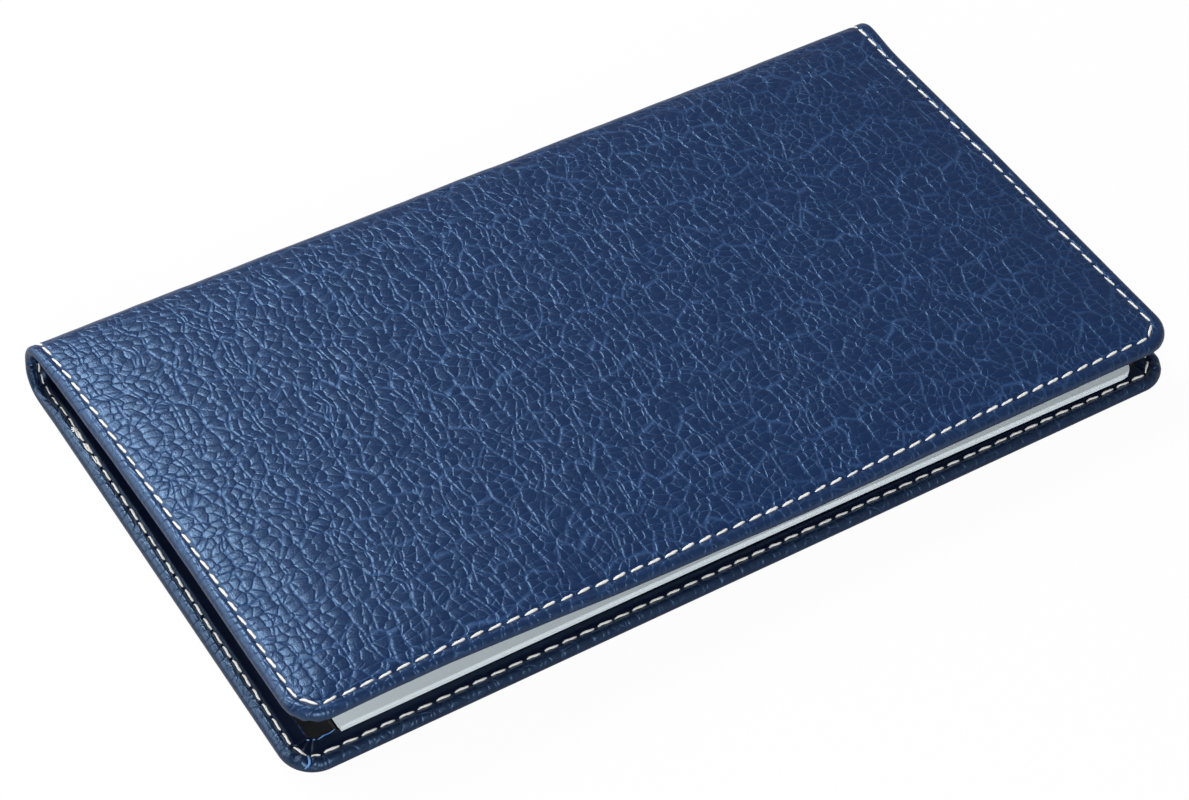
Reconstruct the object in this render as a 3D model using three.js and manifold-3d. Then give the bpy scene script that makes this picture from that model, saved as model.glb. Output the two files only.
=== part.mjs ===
// Folding pocket calendar: a leather cover that folds flat at its spine, with a stapled calendar
// whose card is tucked into a pocket in each cover.
// Millimetres. X runs along the spine, Y from the opening edge (front) to the spine, Z up.
// The back cover lies on the table and the origin is the middle of the closed calendar's underside.
import * as THREE from "three";
import { mergeVertices } from "three/addons/utils/BufferGeometryUtils.js";
import Module from "manifold-3d";

const wasm = await Module();
wasm.setup();

// Cover
const coverLength = 171;
const coverWidth = 95;
const coverCornerRadius = 6;
const hemWidth = 5;
const hemThickness = 0.5;
const seamInset = 2.1;
const seamGrooveDepth = 0.3;
const seamGrooveOuter = 0.5;
const seamGrooveInner = 0.8;
const rolledEdgeThickness = 1.05;
const domeHeight = 0.9;
const domeRun = 19;

// Layers of a cover, from the outside in
const leatherThickness = 0.7;
const boardThickness = 0.8;
const liningThickness = 0.15;
const cardThickness = 0.35;
const panelThickness = 0.25;
const layerGap = 0.03;

// Where the layers end
const boardClearance = 0.9;
const liningInset = 1.9;
const panelMouth = 9;
const boardToFold = 1.6;
const paddingToFold = 2;
const paddingGap = 0.06;

// Spine fold
const spineHeight = 11;
const spineBendRadius = 4.4;
const spineLeatherThickness = 1.1;
const spineHemThickness = 0.4;
const spineLiningThickness = 0.25;
const foldGap = 0.3;
const frontRise = 2.2;

// Calendar
const leafLength = 152.4;
const leafWidth = 87.3;
const leafThickness = 0.2;
const leafCount = 6;
const leafCornerRadius = 3;
const leafShift = 0.6;
const leafGap = 0.02;
const leafRest = 0.05;
const nestClearance = 0.05;
const foldClearance = 0.12;
const flyleafLength = 158;
const flyleafThickness = 0.35;
const flyleafShift = -0.6;
const flyleafUnderCover = 0.45;
const cardLength = 157;
const cardPocketDepth = 84;
const spineCardGap = 0.35;
const stapleWire = 0.5;
const stapleCrown = 12;
const stapleSpacing = 80;
const stapleHoleClearance = 0.12;
const stapleTuck = 0.05;
const stapleLegGap = 2.4;
const stapleBendRadius = 0.3;

// Worked out from the sizes above
const halfLength = coverLength / 2;
const halfWidth = coverWidth / 2;
const coreThickness = boardThickness + liningThickness + cardThickness + panelThickness + 5 * layerGap;
const coverThickness = leatherThickness + coreThickness + hemThickness;
const boardBottom = leatherThickness + layerGap;
const liningBottom = boardBottom + boardThickness + layerGap;
const cardBottom = liningBottom + liningThickness + layerGap;
const panelBottom = cardBottom + cardThickness + layerGap;
const hemUnderside = coverThickness - hemThickness;
const foldStart = halfWidth - spineBendRadius;
const boardInset = seamInset + boardClearance;

// The hinge lines lie just outside the bend, where the strip unrolls to its own length
const hingeOffset = spineBendRadius * (1 - Math.PI / 4);
const hingeY = halfWidth - hingeOffset;
const backHingeZ = hingeOffset;
const frontHingeZ = spineHeight - hingeOffset;
const frontTilt = Math.atan(frontRise / (halfWidth + hingeY));

const colours = {
  leather: { color: 0x1d3563, roughness: 0.45, metalness: 0 },
  board: { color: 0x8a7b66, roughness: 0.95, metalness: 0 },
  padding: { color: 0xd8d4c8, roughness: 0.95, metalness: 0 },
  lining: { color: 0x11172b, roughness: 0.8, metalness: 0 },
  panel: { color: 0x08090d, roughness: 0.2, metalness: 0 },
  card: { color: 0xe9e9e6, roughness: 0.8, metalness: 0 },
  paper: { color: 0xf3f4f3, roughness: 0.9, metalness: 0 },
  wire: { color: 0xb9bcc0, roughness: 0.3, metalness: 1 },
};

const bendSteps = 6;
const cornerSteps = 6;
const fadeRows = [0, 2, 5, 9, 14, 20];
const leastCorner = 0.5;
const domeShares = [0.1, 0.25, 0.5, 1];
const sheetCornerSteps = 8;
const wireSideSteps = 4;
const wireLengthSteps = 64;
const holeSteps = 12;

// Points closer than this are one point, and solids that are joined lap by this much
const mergeDistance = 1e-4;
const joinOverlap = 0.05;

function meshOf(name, geometry, colour) {
  const mesh = new THREE.Mesh(geometry, new THREE.MeshStandardMaterial(colours[colour]));
  mesh.name = name;
  return mesh;
}

// A geometry as a solid that can be joined and cut
function solidOf(geometry) {
  const plain = new THREE.BufferGeometry();
  const source = geometry.index ? geometry.toNonIndexed() : geometry;
  plain.setAttribute("position", source.getAttribute("position"));
  const merged = mergeVertices(plain, mergeDistance);
  return new wasm.Manifold(
    new wasm.Mesh({
      numProp: 3,
      vertProperties: new Float32Array(merged.attributes.position.array),
      triVerts: new Uint32Array(merged.index.array),
    }),
  );
}

function geometryOf(solid) {
  const mesh = solid.getMesh();
  const geometry = new THREE.BufferGeometry();
  geometry.setAttribute("position", new THREE.BufferAttribute(new Float32Array(mesh.vertProperties), 3));
  geometry.setIndex(new THREE.BufferAttribute(new Uint32Array(mesh.triVerts), 1));
  const flat = geometry.toNonIndexed();
  flat.computeVertexNormals();
  return flat;
}

// Rises fast from 0 and levels out at 1, as padding does next to a seam
function swell(t) {
  return Math.sin((Math.PI / 2) * Math.sqrt(Math.min(1, Math.max(0, t))));
}

// The line that runs at one inset from the edge: down the left side from the fold, round the two
// front corners and up the right side. Its points pair up left and right at equal Y.
function coverLine(inset, endY) {
  const radius = Math.max(coverCornerRadius - inset, leastCorner);
  const cornerX = halfLength - inset - radius;
  const cornerY = -halfWidth + inset + radius;
  const left = fadeRows.map((row) => new THREE.Vector2(-halfLength + inset, endY - row));
  for (let step = 0; step <= cornerSteps; step += 1) {
    const angle = Math.PI + (step / cornerSteps) * (Math.PI / 2);
    left.push(
      new THREE.Vector2(-cornerX + radius * Math.cos(angle), cornerY + radius * Math.sin(angle)),
    );
  }
  const right = left.map((point) => new THREE.Vector2(-point.x, point.y)).reverse();
  return left.concat(right);
}

// A cover layer: profile is a list of [inset, z, dome], from the middle of one face, round the
// edge, to the middle of the other face. dome is how much of the height fades out at the fold.
function coverPanel(profile, endY) {
  const lines = profile.map(([inset, z, dome = 0]) =>
    coverLine(inset, endY).map(
      (point) => new THREE.Vector3(point.x, point.y, z + dome * swell((foldStart - point.y) / domeRun)),
    ),
  );
  const count = lines[0].length;
  const corners = [];
  const triangle = (a, b, c) => corners.push(a, b, c);
  for (let layer = 0; layer + 1 < lines.length; layer += 1) {
    for (let i = 0; i + 1 < count; i += 1) {
      const [a, b] = [lines[layer][i], lines[layer][i + 1]];
      const [c, d] = [lines[layer + 1][i], lines[layer + 1][i + 1]];
      triangle(a, d, b);
      triangle(a, c, d);
    }
  }
  capBetween(lines[0], triangle, false);
  capBetween(lines[lines.length - 1], triangle, true);
  closeFoldEnd(lines, triangle);
  const geometry = new THREE.BufferGeometry().setFromPoints(corners);
  return geometry;
}

// Fills a cover line by strips between its left and right points
function capBetween(line, triangle, flip) {
  const last = line.length - 1;
  for (let i = 0; i + 1 < line.length / 2; i += 1) {
    const [a, b, c, d] = [line[i], line[i + 1], line[last - i - 1], line[last - i]];
    if (flip) {
      triangle(a, c, b);
      triangle(a, d, c);
    } else {
      triangle(a, b, c);
      triangle(a, c, d);
    }
  }
}

// Fills the flat end of a cover layer at the fold
function closeFoldEnd(lines, triangle) {
  const ring = lines.map((line) => line[0]).concat(lines.map((line) => line[line.length - 1]).reverse());
  const flat = ring.map((point) => new THREE.Vector2(point.x, point.z));
  const clockwise = THREE.ShapeUtils.isClockWise(flat);
  const faces = THREE.ShapeUtils.triangulateShape(clockwise ? flat.slice().reverse() : flat, []);
  const points = clockwise ? ring.slice().reverse() : ring;
  faces.forEach(([a, b, c]) => triangle(points[a], points[c], points[b]));
}

// A flat layer that reaches in from one inset all over
function flatLayer(inset, bottom, thickness, endY) {
  const middle = domeRun + seamInset;
  return coverPanel(
    [
      [middle, bottom + thickness],
      [inset, bottom + thickness],
      [inset, bottom],
      [middle, bottom],
    ],
    endY,
  );
}

// Height of the outer face over the flat outer plane: the rolled edge, the sunk seam, the dome
function outerProfile(dome) {
  const rows = [];
  const groove = dome > 0 ? seamGrooveDepth : 0;
  const beadRadius = coverThickness / 2;
  for (let step = 0; step <= bendSteps; step += 1) {
    const angle = (step / bendSteps) * Math.PI;
    rows.push([beadRadius * (1 - Math.sin(angle)), beadRadius * (1 + Math.cos(angle))]);
  }
  rows.push([seamInset - seamGrooveOuter, 0]);
  rows.push([seamInset, groove]);
  rows.push([seamInset + seamGrooveInner, 0]);
  domeShares.forEach((share) => {
    rows.push([seamInset + share * domeRun, 0, -dome * swell(share)]);
  });
  return rows;
}

// The leather of a cover: outer skin, rolled edge and the hem that laps onto the inside
function coverLeather(dome) {
  const skin = outerProfile(dome);
  const inside = skin
    .filter(([inset]) => inset >= seamInset + seamGrooveInner)
    .map(([inset, z, share = 0]) => [inset, z + leatherThickness, share])
    .reverse();
  const profile = inside.concat([
    [rolledEdgeThickness, leatherThickness],
    [rolledEdgeThickness, hemUnderside],
    [hemWidth, hemUnderside],
    [hemWidth, coverThickness],
    ...skin,
  ]);
  return coverPanel(profile, foldStart);
}

// A stretch of the fold's bend, as a flat outline in (y, z) swept along X
function bendOutline(centreY, centreZ, outer, inner, from, to) {
  const outline = [];
  for (let step = 0; step <= bendSteps; step += 1) {
    const angle = from + ((to - from) * step) / bendSteps;
    outline.push(new THREE.Vector2(centreY + outer * Math.cos(angle), centreZ + outer * Math.sin(angle)));
  }
  for (let step = bendSteps; step >= 0; step -= 1) {
    const angle = from + ((to - from) * step) / bendSteps;
    outline.push(new THREE.Vector2(centreY + inner * Math.cos(angle), centreZ + inner * Math.sin(angle)));
  }
  return outline;
}

// Sweeps an outline in (y, z) along X, centred
function sweepAlongX(outline, length, shift = 0) {
  const geometry = new THREE.ExtrudeGeometry(new THREE.Shape(outline), {
    depth: length,
    bevelEnabled: false,
  });
  // The outline's x becomes Y, its y becomes Z and the depth becomes X
  const turn = new THREE.Matrix4().makeBasis(
    new THREE.Vector3(0, 1, 0),
    new THREE.Vector3(0, 0, 1),
    new THREE.Vector3(1, 0, 0),
  );
  geometry.applyMatrix4(turn);
  geometry.translate(shift - length / 2, 0, 0);
  return geometry;
}

// The quarter bend is cut at its middle, with half of the fold gap on each side
const bendHalf = Math.PI / 4;
const gapAngle = foldGap / 2 / (spineBendRadius - spineLeatherThickness);

// The half of the bend that belongs to a cover, with the hems of its two ends
function coverBend() {
  const outline = bendOutline(
    foldStart,
    spineBendRadius,
    spineBendRadius,
    spineBendRadius - leatherThickness,
    -Math.PI / 2,
    -bendHalf - gapAngle,
  );
  outline.push(new THREE.Vector2(foldStart - joinOverlap, leatherThickness));
  outline.push(new THREE.Vector2(foldStart - joinOverlap, 0));
  return solidOf(sweepAlongX(outline, coverLength));
}

function backLeather() {
  return geometryOf(solidOf(coverLeather(0)).add(coverBend()));
}

function frontLeather() {
  return geometryOf(solidOf(coverLeather(domeHeight)).add(coverBend()));
}

// Outline of a strip that lies inside the fold, between two bends, from outer to outer - thickness
function foldOutline(inset, thickness) {
  const outer = spineBendRadius - inset;
  const inner = outer - thickness;
  const upperCentre = spineHeight - spineBendRadius;
  const lower = { from: -bendHalf + gapAngle, to: 0 };
  const outline = [];
  const arc = (radius, centreZ, from, to) => {
    for (let step = 0; step <= bendSteps; step += 1) {
      const angle = from + ((to - from) * step) / bendSteps;
      const [y, z] = [foldStart + radius * Math.cos(angle), centreZ + radius * Math.sin(angle)];
      outline.push(new THREE.Vector2(y, z));
    }
  };
  arc(outer, spineBendRadius, lower.from, lower.to);
  arc(outer, upperCentre, -lower.to, -lower.from);
  arc(inner, upperCentre, -lower.from, -lower.to);
  arc(inner, spineBendRadius, lower.to, lower.from);
  return outline;
}

function spineLeather() {
  const strip = solidOf(sweepAlongX(foldOutline(0, spineLeatherThickness), coverLength));
  const hemOutline = foldOutline(
    spineLeatherThickness - joinOverlap,
    spineHemThickness + joinOverlap,
  );
  const hemShift = (coverLength - hemWidth) / 2;
  const leftHem = solidOf(sweepAlongX(hemOutline, hemWidth, -hemShift));
  const rightHem = solidOf(sweepAlongX(hemOutline, hemWidth, hemShift));
  return geometryOf(strip.add(leftHem).add(rightHem));
}

function spineLining() {
  const length = coverLength - 2 * hemWidth - 2 * foldGap;
  return sweepAlongX(foldOutline(spineLeatherThickness + layerGap, spineLiningThickness), length);
}

// A rectangle from frontY to backY whose front corners may be rounded
function sheetShape(length, frontY, backY, leftRadius, rightRadius) {
  const half = length / 2;
  const shape = new THREE.Shape();
  shape.moveTo(-half, backY);
  shape.lineTo(-half, frontY + leftRadius);
  if (leftRadius > 0) {
    shape.absarc(-half + leftRadius, frontY + leftRadius, leftRadius, Math.PI, 1.5 * Math.PI);
  }
  shape.lineTo(half - rightRadius, frontY);
  if (rightRadius > 0) {
    shape.absarc(half - rightRadius, frontY + rightRadius, rightRadius, -Math.PI / 2, 0);
  }
  shape.lineTo(half, backY);
  shape.closePath();
  return shape;
}

function sheet(shape, bottom, thickness) {
  const geometry = new THREE.ExtrudeGeometry(shape, {
    depth: thickness,
    bevelEnabled: false,
    curveSegments: sheetCornerSteps,
  });
  geometry.translate(0, 0, bottom);
  return geometry;
}

// The calendar's fold: spine card outside, clinched staple legs, then the leaves' folded edge
const spineCardOuterY = halfWidth - spineLeatherThickness - spineLiningThickness - spineCardGap - stapleWire;
const spineCardInnerY = spineCardOuterY - cardThickness;
const flyleafFoldY = spineCardInnerY - stapleWire - 2 * stapleTuck - foldClearance;
const outerLeafFoldY = flyleafFoldY - (flyleafThickness + leafThickness) / 2 - nestClearance;
const leafFrontY = outerLeafFoldY - leafWidth;
const leafStackBottom = coverThickness + leafRest;
const leafStackTop = leafStackBottom + leafCount * (leafThickness + leafGap);

// The leaves are sheets folded inside each other, so the inner sheets fold further from the spine
function leafFoldY(index) {
  const fromOutside = Math.min(index, leafCount - 1 - index);
  return outerLeafFoldY - fromOutside * (leafThickness + nestClearance);
}

function spineCard() {
  const bottom = coverThickness + layerGap;
  const top = spineHeight - coverThickness - layerGap;
  const outline = [
    new THREE.Vector2(spineCardInnerY, bottom),
    new THREE.Vector2(spineCardOuterY, bottom),
    new THREE.Vector2(spineCardOuterY, top),
    new THREE.Vector2(spineCardInnerY, top),
  ];
  let card = solidOf(sweepAlongX(outline, cardLength));
  const holeRadius = stapleWire / 2 + stapleHoleClearance;
  const holeLength = 4 * cardThickness;
  staplePlaces().forEach((centre) => {
    [-1, 1].forEach((side) => {
      const hole = new THREE.CylinderGeometry(holeRadius, holeRadius, holeLength, holeSteps);
      hole.translate(centre + (side * stapleCrown) / 2, spineCardInnerY, stapleZ());
      card = card.subtract(solidOf(hole));
    });
  });
  return geometryOf(card);
}

function staplePlaces() {
  return [-stapleSpacing / 2, stapleSpacing / 2];
}

function stapleZ() {
  return (leafStackBottom + leafStackTop) / 2 + stapleWire / 2;
}

// A staple: crown outside the card, legs through it, ends clinched towards each other
function staple(centre) {
  const half = stapleCrown / 2;
  const outside = spineCardOuterY + stapleTuck + stapleWire / 2;
  const inside = spineCardInnerY - stapleTuck - stapleWire / 2;
  const z = stapleZ();
  const clinch = half - stapleLegGap / 2;
  const bend = stapleBendRadius;
  const path = new THREE.CurvePath();
  const corner = (x, y) => new THREE.Vector3(centre + x, y, z);
  const line = (a, b) => path.add(new THREE.LineCurve3(a, b));
  const turn = (a, b, c) => path.add(new THREE.QuadraticBezierCurve3(a, b, c));
  line(corner(-half + clinch, inside), corner(-half + bend, inside));
  turn(corner(-half + bend, inside), corner(-half, inside), corner(-half, inside + bend));
  line(corner(-half, inside + bend), corner(-half, outside - bend));
  turn(corner(-half, outside - bend), corner(-half, outside), corner(-half + bend, outside));
  line(corner(-half + bend, outside), corner(half - bend, outside));
  turn(corner(half - bend, outside), corner(half, outside), corner(half, outside - bend));
  line(corner(half, outside - bend), corner(half, inside + bend));
  turn(corner(half, inside + bend), corner(half, inside), corner(half - bend, inside));
  line(corner(half - bend, inside), corner(half - clinch, inside));
  const section = new THREE.Shape();
  section.absarc(0, 0, stapleWire / 2, 0, 2 * Math.PI);
  return new THREE.ExtrudeGeometry(section, {
    steps: wireLengthSteps,
    curveSegments: wireSideSteps,
    bevelEnabled: false,
    extrudePath: path,
  });
}

// Back cover
const backCover = new THREE.Group();
const boardEnd = foldStart - boardToFold;
const panelEnd = foldStart - panelMouth;
backCover.add(meshOf("back_leather", backLeather(), "leather"));
backCover.add(
  meshOf("back_board", flatLayer(boardInset, boardBottom, boardThickness, boardEnd), "board"),
);
backCover.add(
  meshOf("back_lining", flatLayer(liningInset, liningBottom, liningThickness, boardEnd), "lining"),
);
backCover.add(
  meshOf("back_pocket_panel", flatLayer(liningInset, panelBottom, panelThickness, panelEnd), "panel"),
);
const cardFrontY = boardEnd - cardPocketDepth;
const cardShape = sheetShape(cardLength, cardFrontY, boardEnd, 0, 0);
backCover.add(meshOf("calendar_back_card", sheet(cardShape, cardBottom, cardThickness), "card"));

// Spine
const spine = new THREE.Group();
spine.add(meshOf("spine_leather", spineLeather(), "leather"));
spine.add(meshOf("spine_lining", spineLining(), "lining"));
spine.add(meshOf("calendar_spine_card", spineCard(), "card"));
staplePlaces().forEach((centre, index) => {
  spine.add(meshOf("staple_" + (index + 1), staple(centre), "wire"));
});

// Leaves, from the back card up
const leaves = new THREE.Group();
for (let index = 0; index < leafCount; index += 1) {
  const bottom = leafStackBottom + index * (leafThickness + leafGap);
  const shape = sheetShape(leafLength, leafFrontY, leafFoldY(index), 0, leafCornerRadius);
  const leaf = meshOf("calendar_leaf_" + (index + 1), sheet(shape, bottom, leafThickness), "paper");
  leaf.position.x = leafShift;
  leaves.add(leaf);
}

// The first leaf is stiffer and springs up against the front cover
const flyleafPivotZ = leafStackTop + flyleafThickness / 2 + leafRest;
const flyleafFrontZ = spineHeight + frontRise - coverThickness - flyleafUnderCover;
const flyleafTilt = Math.asin((flyleafFrontZ - flyleafPivotZ) / leafWidth);
const flyleafShape = sheetShape(flyleafLength, -leafWidth, 0, 0, 0);
const flyleafSheet = sheet(flyleafShape, -flyleafThickness / 2, flyleafThickness);
const flyleaf = meshOf("calendar_flyleaf", flyleafSheet, "card");
flyleaf.rotation.x = -flyleafTilt;
flyleaf.position.set(flyleafShift, flyleafFoldY, flyleafPivotZ);
leaves.add(flyleaf);

// Front cover: the same layers turned over, tilted up about the upper hinge line
const frontFlat = new THREE.Group();
frontFlat.rotation.y = Math.PI;
frontFlat.position.set(0, -hingeY, spineHeight - frontHingeZ);
frontFlat.add(meshOf("front_leather", frontLeather(), "leather"));
frontFlat.add(
  meshOf("front_board", flatLayer(boardInset, boardBottom, boardThickness, boardEnd), "board"),
);
frontFlat.add(
  meshOf("front_lining", flatLayer(liningInset, liningBottom, liningThickness, boardEnd), "lining"),
);
frontFlat.add(
  meshOf("front_pocket_panel", flatLayer(liningInset, panelBottom, panelThickness, panelEnd), "panel"),
);
frontFlat.add(meshOf("calendar_front_card", sheet(cardShape, cardBottom, cardThickness), "card"));
const frontCover = new THREE.Group();
frontCover.rotation.x = -frontTilt;
frontCover.position.set(0, hingeY, frontHingeZ);
frontCover.add(frontFlat);

// The padding fills the dome between the leather and the board
function frontPadding() {
  const top = boardBottom - layerGap;
  const domeRows = domeShares.map((share) => [
    seamInset + share * domeRun,
    leatherThickness + paddingGap,
    -domeHeight * swell(share),
  ]);
  const start = domeRows[0][0];
  const middle = seamInset + domeRun;
  const profile = [[middle, top], [start, top], ...domeRows];
  return coverPanel(profile, foldStart - paddingToFold);
}
frontFlat.add(meshOf("front_padding", frontPadding(), "padding"));

const part = new THREE.Group();
part.add(backCover, spine, leaves, frontCover);

export default part;
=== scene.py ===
"""Looks of the folding pocket calendar: leather cover, seams, pockets, card, leaves and studio."""

import math

import bpy
import numpy as np
from mathutils import Matrix, Vector
from mathutils.geometry import delaunay_2d_cdt


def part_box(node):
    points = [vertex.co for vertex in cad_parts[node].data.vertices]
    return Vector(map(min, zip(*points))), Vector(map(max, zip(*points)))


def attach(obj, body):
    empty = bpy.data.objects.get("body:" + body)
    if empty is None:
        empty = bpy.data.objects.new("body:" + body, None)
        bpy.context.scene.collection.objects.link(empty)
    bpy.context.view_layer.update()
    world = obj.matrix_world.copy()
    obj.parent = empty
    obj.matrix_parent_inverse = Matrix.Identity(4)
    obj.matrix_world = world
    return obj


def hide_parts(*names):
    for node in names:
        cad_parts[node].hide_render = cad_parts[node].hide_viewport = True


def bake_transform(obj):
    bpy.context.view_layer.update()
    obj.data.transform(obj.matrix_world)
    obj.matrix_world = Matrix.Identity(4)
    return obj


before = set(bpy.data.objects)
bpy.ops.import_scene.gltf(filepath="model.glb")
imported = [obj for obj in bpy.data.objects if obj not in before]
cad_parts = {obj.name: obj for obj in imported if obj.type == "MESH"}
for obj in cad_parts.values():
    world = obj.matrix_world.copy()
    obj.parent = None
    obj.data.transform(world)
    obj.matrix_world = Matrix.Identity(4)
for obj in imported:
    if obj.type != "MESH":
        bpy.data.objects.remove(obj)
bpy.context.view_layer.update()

# ---------------------------------------------------------------- sizes, in millimetres
# A cover is described unfolded: x along the spine, s over its outer face from the free edge, h into it,
# and n is the distance in from its border. A pair for rise() is where it starts and over what length.
# Those down to TILT are the same as the CAD's.
MM = 0.001
HALF_LENGTH = 85.5
HALF_WIDTH = 47.5
CORNER = 6.0                     # radius of a cover's corner
SPINE_HEIGHT = 11.0
BEND = 4.4                       # outer radius of a bend at the spine
FOLD_Y = 43.1                    # where a bend starts, in the row frame and in s
TOP = 90.6
BEND_RUN = BEND * math.pi / 2
MIDDLE = TOP + BEND_RUN + (SPINE_HEIGHT - 2 * BEND) / 2
THICK = 2.9                      # a cover's rim, and the fold
FOLD_THICK = 1.75
THINNING = 83.5, 7.1             # where in s the one runs into the other
SKIN = 0.72                      # the leather, and its hem
HEM = 5.0
HEM_SKIN = 0.5
SEAM = 2.1                       # the seam's distance from the border
DOME = 0.9                       # the front cover's crown, and how it rises
DOME_RUN = 19.0
DOME_START = 2.9
HINGE_Y = 46.5557                # the front cover's hinge and slope
HINGE_Z = 10.0557
TILT = math.atan(2.2 / 94.06)
CROWN_POWER = 0.72               # shape of the crown's rise from the seam
BLEND_FROM, BLEND_TO = -40.5, -32.5   # the front bend turns between these two places of z - y

# The seam runs further in along the right end: by how much, and where in x that starts
SEAM_SHIFT = 0.5
SEAM_SHIFT_RISE = 79.5, 3.0

# Trim of the front cover: its half lengths left and right of the middle, from the free edge to the fold
LEFT_S = [0, 5, 15, 25, 35, 45, 64, 84, 92, 98.6]
LEFT_EDGE = [85.1, 85.06, 84.84, 84.54, 84.25, 84.1, 84.0, 84.3, 84.9, 85.2]
RIGHT_S = [0, 12, 22, 32, 42, 52, 62, 72, 82, 92, 98.6]
RIGHT_EDGE = [83.8, 83.86, 83.97, 84.1, 84.24, 84.4, 84.42, 84.45, 84.5, 84.9, 85.2]
# and how far its free edge stands back, which fades out over a run
FREE_X = [-85, -79, -59, -40, -20, 0, 19, 37, 85]
FREE_S = [-0.5, -0.4, 0, -0.3, -0.5, -0.5, -0.3, -0.1, -0.1]
FREE_RUN = 20.0

# Half length of the back cover where it runs into the fold
BACK_S, BACK_EDGE = [86, 98.6], [HALF_LENGTH, 85.2]

# Lift of the front cover's free edge above its flat plane, by x
LIFT_X = [-85.5, -75, -57.6, -39, -30, -11, 8, 85.5]
LIFT_Z = [3.0, 2.7, 2.2, 1.5, 0.95, 0.4, -0.2, -0.3]
LIFT_POWER = 1.6

# Thinning of the front cover's rim along its free edge, by x, how far back it reaches,
# and where it fades out on the hem
SLIM_X = [-79, -71, -5, 6, 30, 42]
SLIM = [0, 0.42, 0.42, 0.25, 0.25, 0.05]
SLIM_RUN = 7.0
SLIM_FADE = 1.2, 1.2


# ---------------------------------------------------------------- shape functions
def ease(t):
    t = np.clip(t, 0, 1)
    return t * t * (3 - 2 * t)


def rise(n, span):
    """0 up to the start of a span, which is (start, length), and 1 from its end."""
    start, length = span
    return ease((n - start) / length)


def swell(t):
    return np.sin(np.pi / 2 * np.sqrt(np.clip(t, 0, 1)))


def border(x, s):
    """Distance from the cover's border, in the unfolded leather."""
    x = np.abs(x)
    cx, cs = HALF_LENGTH - CORNER, CORNER
    corner = (x > cx) & (s < cs)
    return np.where(
        corner,
        CORNER - np.hypot(np.maximum(x - cx, 0), np.maximum(cs - s, 0)),
        np.minimum(HALF_LENGTH - x, s),
    )


def thickness(s):
    return THICK - (THICK - FOLD_THICK) * rise(s, THINNING)


def seam_in(x):
    """How far in from the border the seam runs."""
    return SEAM + SEAM_SHIFT * rise(x, SEAM_SHIFT_RISE)


def slim(x, s):
    """How much thinner than its plan the front cover's rim is, at a point of its border."""
    return np.interp(x, SLIM_X, SLIM) * (1 - ease(s / SLIM_RUN))


def slim_share(n):
    """How much of that is left on the hem, n in from the border."""
    return 1 - rise(n, SLIM_FADE)


def dome(x, s):
    """How far the padding lifts the front cover's leather."""
    n = border(x, s)
    return DOME * swell((n - DOME_START) / DOME_RUN) * swell((TOP - s) / DOME_RUN)


def crown(x, s):
    """Height of the front cover's face, which starts to rise right behind the seam."""
    t = np.clip((border(x, s) - SEAM) / (DOME_RUN + DOME_START - SEAM), 0, 1)
    return DOME * np.sin(np.pi / 2 * t ** CROWN_POWER) * swell((TOP - s) / DOME_RUN)


def lift(x, s):
    along = np.interp(x, LIFT_X, LIFT_Z)
    return along * np.clip((TOP - s) / TOP, 0, 1) ** LIFT_POWER


def folded(x, s, h):
    """An unfolded point laid round the spine."""
    phi = np.clip((s - TOP) / BEND, 0, np.pi / 2)
    r = BEND - h
    y = FOLD_Y + r * np.sin(phi) + np.minimum(s - TOP, 0)
    z = SPINE_HEIGHT - BEND + r * np.cos(phi) - np.maximum(s - TOP - BEND_RUN, 0)
    return x, y, z


def front(x, s, h):
    """A point of the front cover in the row frame, in mm."""
    x, s, h = np.broadcast_arrays(*np.atleast_1d(x, s, h))
    edge = np.where(x < 0, np.interp(s, LEFT_S, LEFT_EDGE), np.interp(s, RIGHT_S, RIGHT_EDGE))
    over = np.interp(x, FREE_X, FREE_S) * (1 - ease(s / FREE_RUN))
    x, y, z = folded(x * edge / HALF_LENGTH, s + over, h - lift(x, s))
    a = -TILT * ease((z - y - BLEND_FROM) / (BLEND_TO - BLEND_FROM))
    dy, dz = y - HINGE_Y, z - HINGE_Z
    return np.stack([x, HINGE_Y + dy * np.cos(a) - dz * np.sin(a),
                     HINGE_Z + dy * np.sin(a) + dz * np.cos(a)], -1)


def back(x, s, h):
    """A point of the back cover in the row frame, in mm."""
    x, s, h = np.broadcast_arrays(*np.atleast_1d(x, s, h))
    edge = np.interp(s, BACK_S, BACK_EDGE)
    x, y, z = folded(x * edge / HALF_LENGTH, s, h)
    return np.stack([x, y, SPINE_HEIGHT - z], -1)


NOISE_CELLS = 511
NOISE_SHIFT = 200    # keeps the places positive


def value_noise(x, y, size, seed):
    """Smooth noise from -1 to 1 with lumps about size mm wide."""
    table = np.random.default_rng(seed).uniform(-1, 1, (NOISE_CELLS + 1, NOISE_CELLS + 1))
    u, v = np.asarray(x) / size + NOISE_SHIFT, np.asarray(y) / size + NOISE_SHIFT
    i, j = np.floor(u).astype(int), np.floor(v).astype(int)
    a, b = ease(u - i), ease(v - j)
    i, j = i % NOISE_CELLS, j % NOISE_CELLS
    return ((table[i, j] * (1 - a) + table[i + 1, j] * a) * (1 - b)
            + (table[i, j + 1] * (1 - a) + table[i + 1, j + 1] * a) * b)


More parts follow.
